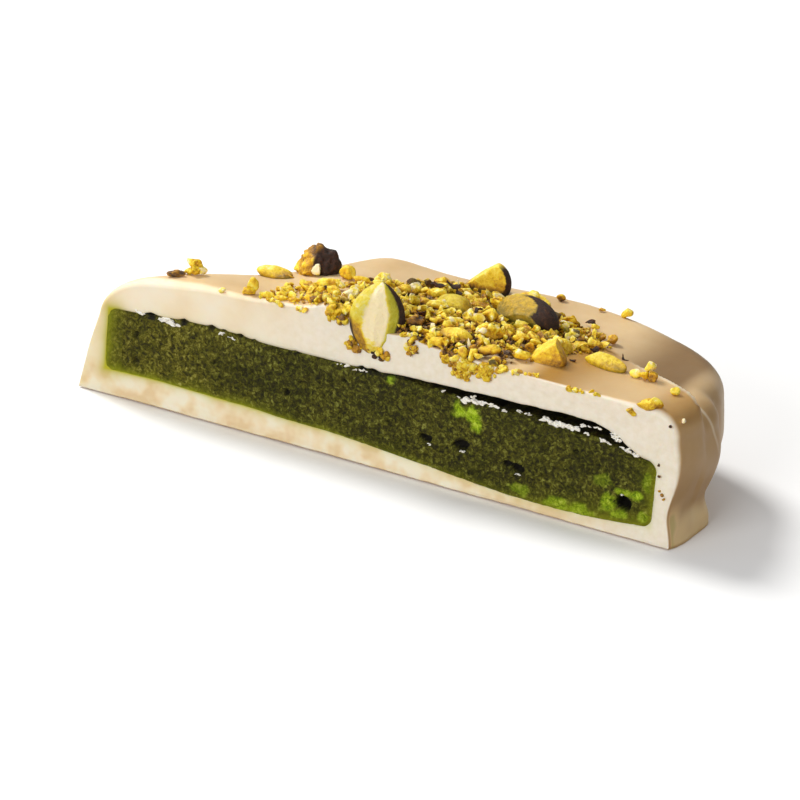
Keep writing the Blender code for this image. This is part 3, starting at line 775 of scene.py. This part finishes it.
def makeCrumbs():
    heap = Heap(fineness=4, seed=19)
    rng = heap.rng
    for x, y, up, wide, tall, tone, *rest in pieces:
        rough, lean = rest + [1, 0][len(rest):]
        points, grown = chop(heap.ball, rng, 4, (0.45, 0.85))
        size = np.array([wide, 0.85 * min(wide, 1.3 * tall), tall])
        points, dentShade = roughen(points * size / 2, grown, float(size.min()), 3 * x + y, rough)
        points = turned(turned(points, (rng.uniform(-15, 15), lean, 0)), (0, 0, crumbs["facing"]))
        heap.addOnCoat(points, x, y, up, 0, tone + dentShade)
    for x, y, size in crumbSpots():
        points, grown = chop(heap.ball, rng, 4)
        points = points * np.array([rng.uniform(1, 1.6), rng.uniform(0.8, 1.05), rng.uniform(0.65, 0.95)])
        points, dentShade = roughen(points * size / 2, grown, size, 3 * x + y)
        points = turned(points, (rng.uniform(-40, 40), rng.uniform(-25, 25), rng.uniform(-35, 60)))
        skin = 0.9 * (rng.random() < crumbs["skinned"]) * (x > 20)
        up = 0.24 * size + 0.4 * crumbs["heap"] * crumbChance(x, y) * rng.random()
        tone, green = colourOf(rng)
        heap.addOnCoat(points, x, y, up, grown * skin, tone + dentShade, green)
    return heap.toObject("crumbs")


def covered(x, y):
    # over a kernel or a broken piece, which the small bits leave free
    if beside(x, y, rimKernel["clearOfBits"]):
        return True
    for kernelX, kernelY, size, turn, *_ in kernels:
        turn = math.radians(turn)
        dx, dy = x - kernelX, y - kernelY
        lengthwise = dx * math.cos(turn) + dy * math.sin(turn)
        across = dy * math.cos(turn) - dx * math.sin(turn)
        if math.hypot(lengthwise / size[0], across / size[1]) < 0.5:
            return True
    return any(beside(x, y, (pieceX, pieceY, 1, 0.42 * wide)) for pieceX, pieceY, _, wide, *_ in pieces)


def scatter(rng, count, size, power=1):
    across, deep = crumbs["bitArea"]
    spots = []
    while len(spots) < count:
        x, y = rng.uniform(*across), rng.uniform(*deep)
        if rng.random() < crumbChance(x, y) ** power and not covered(x, y):
            spots.append((x, y, rng.uniform(*size)))
    return spots


def makeBits():
    heap = Heap(fineness=2, seed=29)
    rng = heap.rng
    for x, y, size in scatter(rng, crumbs["bitCount"], crumbs["bitSize"]):
        points, grown = chop(heap.ball, rng, 5, (0.1, 0.6))
        points, dentShade = roughen(points * (0.6 * size * rng.uniform(0.6, 1.7, 3)), grown, size, 5 * x + y, 1.3)
        points = turned(points, rng.uniform(0, 360, 3))
        up = 0.2 * size + crumbs["heap"] * crumbChance(x, y) * rng.random() ** 1.5
        skin = 0.9 * (rng.random() < crumbs["bitsSkinned"]) * (x > 20)
        tone, green = colourOf(rng)
        heap.addOnCoat(points, x, y, up, grown * skin, tone + dentShade, green)
    return heap.toObject("bits", rounded=False)


def makeSpills():
    heap = Heap(fineness=3, seed=41)
    rng = heap.rng
    for x, z, across, up, count, tone in spills:
        for _ in range(count):
            size = 0.22 + 0.9 * rng.random() ** 2 if count > 30 else rng.uniform(0.35, 1.1)
            size = size * min(1, 0.5 + up) if count > 1 else 0.32
            spot = [x + rng.normal() * across * 0.6, 0.05 - rng.uniform(0, 0.3), z + rng.normal() * up * 0.6]
            points, grown = chop(heap.ball * rng.uniform(0.7, 1.3, 3), rng, 3)
            points, dentShade = roughen(points * size / 2, grown, size, 7 * spot[0])
            points = turned(points, rng.uniform(0, 360, 3))
            heap.add(points + spot, 0.9 * (tone > 0.9), tone * rng.uniform(0.4, 1.5) + dentShade)
    return heap.toObject("spills")


def makeSkins():
    # thin curled flakes
    heap = Heap(fineness=4, seed=31)
    rng = heap.rng
    for x, y, up, length, width, turn in skins:
        points = heap.ball
        for _ in range(5):
            way = rng.uniform(0, 2 * math.pi)
            points, _ = flatten(points, 1, (math.cos(way), math.sin(way), 0), rng.uniform(0.35, 0.85))
        curl = 0.25 * length * (points[:, 0] ** 2 - 0.5 * points[:, 1] ** 2) * rng.choice([-1, 1])
        points = points * [length / 2, width / 2, 0.09] + curl[:, None] * [0, 0, 1]
        points = points + 0.12 * grain(points + x, 0.5, 33, 2)[:, None] * [0.5, 0.5, 1]
        points = turned(points, (rng.uniform(-50, 20), rng.uniform(-25, 25), turn))
        heap.addOnCoat(points, x, y, up, 1, 0.9)
    return heap.toObject("skins")


def makePowder():
    heap = Heap(fineness=1, seed=37)
    rng = heap.rng
    for x, y, size in scatter(rng, crumbs["powderCount"], crumbs["powderSize"], 1.4):
        points = turned(heap.ball * (0.5 * size * rng.uniform(0.6, 1.3, 3)), rng.uniform(0, 360, 3))
        up = 0.15 * size + 0.8 * crumbs["heap"] * crumbChance(x, y) * rng.random() ** 3
        heap.addOnCoat(points, x, y, up, 0, rng.uniform(0.1, 0.7))
    return heap.toObject("powder", rounded=False)


# white bits caught in the crevice, partly crumbs of chocolate and partly painted glints, and painted glints under
# the pores: x, z, size
flakesAndGlints = [
    (38.7, 9.9, 0.3), (41, 9.6, 0.5), (41.6, 9.75, 0.6), (42, 10.1, 0.35), (42.6, 9.75, 0.6), (43.1, 9.8, 0.55),
    (43.9, 9.75, 0.5), (45.6, 9.6, 0.3), (47.1, 9.95, 0.3), (50, 9.9, 0.6), (50.5, 9.75, 0.7), (51.1, 9.7, 0.7),
    (51.7, 9.75, 0.7), (52.2, 9.85, 0.6), (52.9, 9.75, 0.6), (54.2, 10.3, 0.4), (54.5, 9.6, 0.3),
    (55.6, 10.4, 0.35), (57.2, 10.3, 0.45), (57.6, 10, 0.5), (57.9, 9.8, 0.5), (56.2, 9.3, 0.4),
    (56.9, 9.2, 0.4), (58.5, 9, 0.6), (59.2, 8.9, 0.5), (59.8, 8.75, 0.4), (4.7, 9.55, 0.45), (4.2, 9.75, 0.3),
    (7.2, 9.5, 0.55), (8.1, 9.4, 0.6), (8.8, 9.4, 0.65), (15.2, 9.5, 0.5), (13.9, 9.7, 0.45), (18.2, 9.3, 0.3),
    (29.1, 9.7, 0.35), (29.5, 9.75, 0.35), (30.1, 9.8, 0.3), (37.8, 4.05, 0.22), (41.3, 4.2, 0.28),
    (41.6, 4.25, 0.2), (47.5, 3.45, 0.26), (47.8, 3.5, 0.2), (58.7, 4.25, 0.22), (27.3, 9.8, 0.3),
    (28.2, 9.8, 0.35), (53.5, 9.75, 0.4), (48, 9.95, 0.3),
]


def makeFlakes():
    heap = Heap(fineness=3, seed=43)
    rng = heap.rng
    for x, z, size in flakesAndGlints:
        for _ in range(5):
            points, grown = chop(heap.ball, rng, 4, (0.3, 0.8))
            points = points * (0.6 * size * rng.uniform(0.4, 1, 3) * [1.7, 0.7, 0.5])
            points = turned(points, (rng.uniform(-60, 60), rng.uniform(-25, 25), rng.uniform(-30, 30)))
            spot = [x + rng.normal() * 0.5 * size, rng.uniform(0, 0.3), z + rng.normal() * 0.14 * size]
            points, _ = roughen(points, grown, size, x)
            heap.add(points + spot)
    piece = heap.toObject("flakesAndGlints")
    # bare crumb of chocolate and painted glint, the palest that the foot's colours have
    setFields(piece, **{**dict.fromkeys(coatFields, 0), "cut": 1, "seep": 0.04, "foot": 1})
    return piece


# materials

def linear(colour):
    # sRGB hex to the linear values that a shader wants
    parts = [int(colour[i:i + 2], 16) / 255 for i in (1, 3, 5)]
    return tuple(p / 12.92 if p <= 0.04045 else ((p + 0.055) / 1.055) ** 2.4 for p in parts) + (1,)


def setInputs(node, inputs):
    # inputs by name or number: a socket is linked, a hex code becomes a colour, a number stays
    for key, value in inputs.items():
        if isinstance(value, bpy.types.NodeSocket):
            node.id_data.links.new(value, node.inputs[key])
        else:
            node.inputs[key].default_value = linear(value) if isinstance(value, str) else value


def addNode(owner, kind, inputs, output=0, stops=(), **settings):
    # one node with its inputs, the stops of a colour ramp as (position, colour) and its other settings
    node = owner.node_tree.nodes.new("ShaderNode" + kind)
    for key, value in settings.items():
        setattr(node, key, value)
    setInputs(node, inputs)
    if stops:
        elements = node.color_ramp.elements
        for _ in stops[2:]:
            elements.new(0.5)
        for element, (position, colour) in zip(elements, stops):
            element.position = position
            element.color = linear(colour) if isinstance(colour, str) else colour
    return node.outputs[output]


def startMaterial(name, inputs):
    made = bpy.data.materials.new(name)
    made.use_nodes = True
    shader = made.node_tree.nodes["Principled BSDF"]
    setInputs(shader, {"Subsurface Scale": mm, **inputs})
    return made, shader


def readPiece(material, names):
    # the place on the piece, and each of its fields
    where = addNode(material, "TexCoord", {}, "Object")
    return [where] + [addNode(material, "Attribute", {}, "Fac", attribute_name=name) for name in names]


def whiteChocolate():
    # white chocolate, poured and set: satin skin, cream with a warm cast; dry and chalky where it was cut
    made, shader = startMaterial("whiteChocolatePoured", {
        "IOR": 1.46, "Specular IOR Level": 0.4, "Subsurface Weight": 0.25, "Subsurface Radius": (1.6, 1, 0.5)})
    where, cut, seep, cream, behind, lobe, foot, gully, tan, blotch = readPiece(made, coatFields)
    # clouds 6 mm across, spots of 2 mm, chalky grain of 0.7 mm
    cloudy, spots, fine = [addNode(made, "TexNoise", {"Vector": where, "Scale": scale, "Detail": detail})
                           for scale, detail in ((170, 4), (450, 2), (1400, 4))]
    poured, dry, soft, warm, flare = [
        addNode(made, "ValToRGB", {"Fac": source}, stops=stops) for source, *stops in (
            (cloudy, (0.3, "#D2B17F"), (0.7, "#E2C598")),
            (fine, (0.3, "#E8DFCB"), (0.65, "#EFE8D9")),
            (cloudy, (0.32, "#EDDAB6"), (0.5, "#F3E6CA"), (0.7, "#F4ECD9")),
            (spots, (0.36, "#E5CCA1"), (0.5, "#EFDEBB"), (0.64, "#F2EAD2")),
            # the thin foot with its painted highlight, the same greener, and bare crumb and painted glint
            (foot, (0.75, "#FCE4B0"), (0.95, "#DACB8C"), (1, "#FFFBEE")))]
    # painted highlight: a thin pale line along the front lobe's sharp crest
    off = addNode(made, "Math", {0: behind}, operation="ABSOLUTE")
    line = addNode(made, "MapRange", {"Value": off, "From Min": 0.05, "From Max": 0.3, "To Min": 1, "To Max": 0})
    crest = addNode(made, "Math", {0: line, 1: lobe}, operation="MULTIPLY")
    # a colour mix has its share at input 0, the colours at 6 and 7 and the result at output 2
    cutFace = dry
    for share, over in ((cream, soft), (blotch, warm)):
        cutFace = addNode(made, "Mix", {0: share, 6: cutFace, 7: over}, 2, data_type="RGBA")
    colour = poured
    for share, over in (
            (tan, "#A87B34"),  # darker round the nuts, partly oil from the nuts and partly painted shade
            (gully, "#68440A"),  # painted shade: darker brown in the gully behind the front lobe's crest
            (cut, cutFace),
            (seep, "#B5B020"),  # painted green glow round the slab
            (crest, "#EBDABB"),  # a thin painted highlight along the crest
            (foot, flare)):
        colour = addNode(made, "Mix", {0: share, 6: colour, 7: over}, 2, data_type="RGBA")
    setInputs(shader, {
        "Base Color": colour,
        "Roughness": addNode(made, "MapRange", {"Value": cut, "To Min": 0.45, "To Max": 0.75}),
        "Normal": addNode(made, "Bump", {"Height": fine, "Strength": 0.1, "Distance": 0.0002})})
    return made


def pistachioPaste():
    # ground pistachio toffee, pressed: moist dark green crumb in fine strands, brighter where light gets through
    made, shader = startMaterial("pistachioPastePressed", {
        "IOR": 1.45, "Roughness": 0.6, "Specular IOR Level": 0.2, "Subsurface Weight": 0.1,
        "Subsurface Radius": (0.5, 0.8, 0.25)})
    where, edge, green, pore, brown = readPiece(made, ("edge", "green", "pore", "brown"))
    # crumb 0.4 mm across with finer strands, patches of 4 mm and smears of 1 mm
    crumb, patch, smear = [
        addNode(made, "TexNoise",
                {"Vector": where, "Scale": scale, "Detail": detail, "Roughness": rough, "Distortion": distortion})
        for scale, detail, rough, distortion in ((2400, 5, 0.7, 0.8), (260, 3, 0.5, 0), (900, 2, 0.5, 1.5))]
    dark, earthy, ground = [addNode(made, "ValToRGB", {"Fac": crumb}, stops=stops) for stops in (
        [(0.33, "#171502"), (0.43, "#363309"), (0.51, "#504D12"), (0.58, "#6E6E24"), (0.68, "#9EA054")],
        [(0.33, "#211E05"), (0.43, "#4D4810"), (0.51, "#6D681A"), (0.58, "#928B38"), (0.68, "#BEB76A")],
        [(0.35, "#5C760C"), (0.5, "#A0C01C"), (0.65, "#D2E654")])]
    both = addNode(made, "Math", {0: patch, 1: smear}, operation="ADD")
    wet = addNode(made, "MapRange", {"Value": both, "From Min": 0.8, "From Max": 1.2})
    colour = dark
    for share, over, blend in (
            (brown, earthy, "MIX"),
            (wet, "#ADB083", "MULTIPLY"),  # patches and smears that hold more oil
            (edge, "#8F951A", "MIX"),
            (green, ground, "MIX"),
            # painted shade: near black in the pores and in the crevice
            (pore, "#14120A", "MIX")):
        colour = addNode(made, "Mix", {0: share, 6: colour, 7: over}, 2, data_type="RGBA", blend_type=blend)
    setInputs(shader, {
        "Base Color": colour,
        "Normal": addNode(made, "Bump", {"Height": crumb, "Strength": 0.8, "Distance": 0.0004})})
    return made


def roastedPistachio():
    # pistachio kernel, roasted and chopped: waxy yellow-green flesh, thin purple-brown skin where it grew
    made, shader = startMaterial("pistachioKernelRoasted", {
        "IOR": 1.46, "Subsurface Weight": 0.25, "Subsurface Radius": (0.8, 0.6, 0.15)})
    where, tone, skin, green = readPiece(made, ("tone", "skin", "green"))
    # mottled every 0.5 mm
    mottle = addNode(made, "TexNoise", {"Vector": where, "Scale": 1900, "Detail": 5, "Roughness": 0.7})
    shade = addNode(made, "Math", {0: mottle, 1: 1.1, 2: tone}, operation="MULTIPLY_ADD")
    spread = addNode(made, "Math", {0: shade, 1: 0.55}, operation="SUBTRACT")
    flesh = addNode(made, "ValToRGB", {"Fac": spread}, stops=[
        (0, "#FFEDC0"), (0.15, "#FFE85E"), (0.34, "#F4CE22"), (0.55, "#CE980E"), (0.78, "#8E600C"), (1, "#37210A")])
    husk = addNode(made, "ValToRGB", {"Fac": mottle},
                   stops=[(0.35, "#1C0E05"), (0.6, "#3A1D0B"), (0.75, "#5E3A14")])
    colour = flesh
    for share, over in ((green, "#A7A61E"), (skin, husk)):
        colour = addNode(made, "Mix", {0: share, 6: colour, 7: over}, 2, data_type="RGBA")
    setInputs(shader, {
        "Base Color": colour,
        "Roughness": addNode(made, "MapRange", {"Value": skin, "To Min": 0.45, "To Max": 0.75}),
        "Normal": addNode(made, "Bump", {"Height": mottle, "Strength": 0.6, "Distance": 0.0004})})
    return made


# studio

studio = {
    "azimuth": 26,  # degrees round from straight on to the cut
    "elevation": 22,
    "roll": 4.9,  # right end down
    "distance": 600,  # mm
    "lens": 274.2,
    "aim": (32, 0, 0),
    "aimInFrame": (373.3, 468.1),  # where the aim shows in the 800 by 800 frame
    "pixelsPerMm": 10.154,
    # watts, width and place in metres, and colour
    "key": (1.95, 0.16, (-0.30, 0.08, 0.36), (1, 0.99, 0.97)),
    "fill": (1.95, 0.34, (-0.05, -0.5, 0.15), (1, 1, 1)),
    "sky": (0.42, 0.42, 0.42, 1),  # soft light from above
    "glow": (0.222, 0.143, 0.053, 1),  # and warm light from below
}


def makeCamera():
    azimuth, elevation, roll = [math.radians(studio[key]) for key in ("azimuth", "elevation", "roll")]
    right = Vector((math.cos(azimuth), math.sin(azimuth), 0))
    back = Vector((math.sin(azimuth), -math.cos(azimuth), 0)) * math.cos(elevation)
    back.z = math.sin(elevation)
    up = back.cross(right)
    across = right * math.cos(roll) + up * math.sin(roll)
    above = up * math.cos(roll) - right * math.sin(roll)
    aim = Vector(studio["aim"]) + Vector(origin)
    aim += across * (400 - studio["aimInFrame"][0]) / studio["pixelsPerMm"]
    aim += above * (studio["aimInFrame"][1] - 400) / studio["pixelsPerMm"]
    camera = newObject("camera", bpy.data.cameras.new("camera"))
    camera.data.lens = studio["lens"]
    camera.matrix_world = Matrix((across, above, back)).transposed().to_4x4()
    camera.location = (aim + back * studio["distance"]) * mm
    bpy.context.scene.camera = camera


def makeLight(name):
    light = bpy.data.lights.new(name, "AREA")
    light.shape = "DISK"
    light.energy, light.size, spot, light.color = studio[name]
    made = newObject(name, light)
    made.location = spot
    made.rotation_euler = (-Vector(spot)).to_track_quat("-Z", "Y").to_euler()


def makeStudio():
    bpy.ops.mesh.primitive_plane_add(size=4)
    floor = bpy.context.object
    floor.name = "floor"
    floor.location = (0, 0, -0.0001)
    floor.data.materials.append(startMaterial("paperMatt", {"Roughness": 0.9, "Base Color": "#FAFAFA"})[0])
    floor.visible_diffuse = False  # it throws no light back up
    world = bpy.data.worlds.new("studio")
    world.use_nodes = True
    where = addNode(world, "TexCoord", {}, "Generated")
    up = addNode(world, "SeparateXYZ", {"Vector": where}, "Z")
    halves = addNode(world, "ValToRGB", {"Fac": up}, stops=[(0, studio["glow"]), (0.1, studio["sky"])])
    setInputs(world.node_tree.nodes["Background"], {"Color": halves})
    bpy.context.scene.world = world
    bpy.context.scene.view_settings.view_transform = "Standard"
    makeLight("key")
    makeLight("fill")


# put together

print("camera and studio")
makeCamera()
makeStudio()
print("coat")
coatPiece = makeCoat()
print("slab")
slabPiece = makeSlab()
print("chopped pistachio")
nutPieces = [makeKernels(), makeCrumbs(), makeBits(), makeSpills(), makeSkins(), makePowder()]
print("chocolate crumbs")
flakePiece = makeFlakes()

print("materials")
slabPiece.data.materials.append(pistachioPaste())
for material, dressed in ((whiteChocolate(), [coatPiece, flakePiece]), (roastedPistachio(), nutPieces)):
    for piece in dressed:
        piece.data.materials.append(material)

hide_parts("filling")
for piece in [coatPiece, flakePiece] + nutPieces:
    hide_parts("coating")
for piece in [coatPiece, slabPiece, flakePiece] + nutPieces:
    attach(piece, "root")
    print(piece.name, len(piece.data.polygons), "faces")
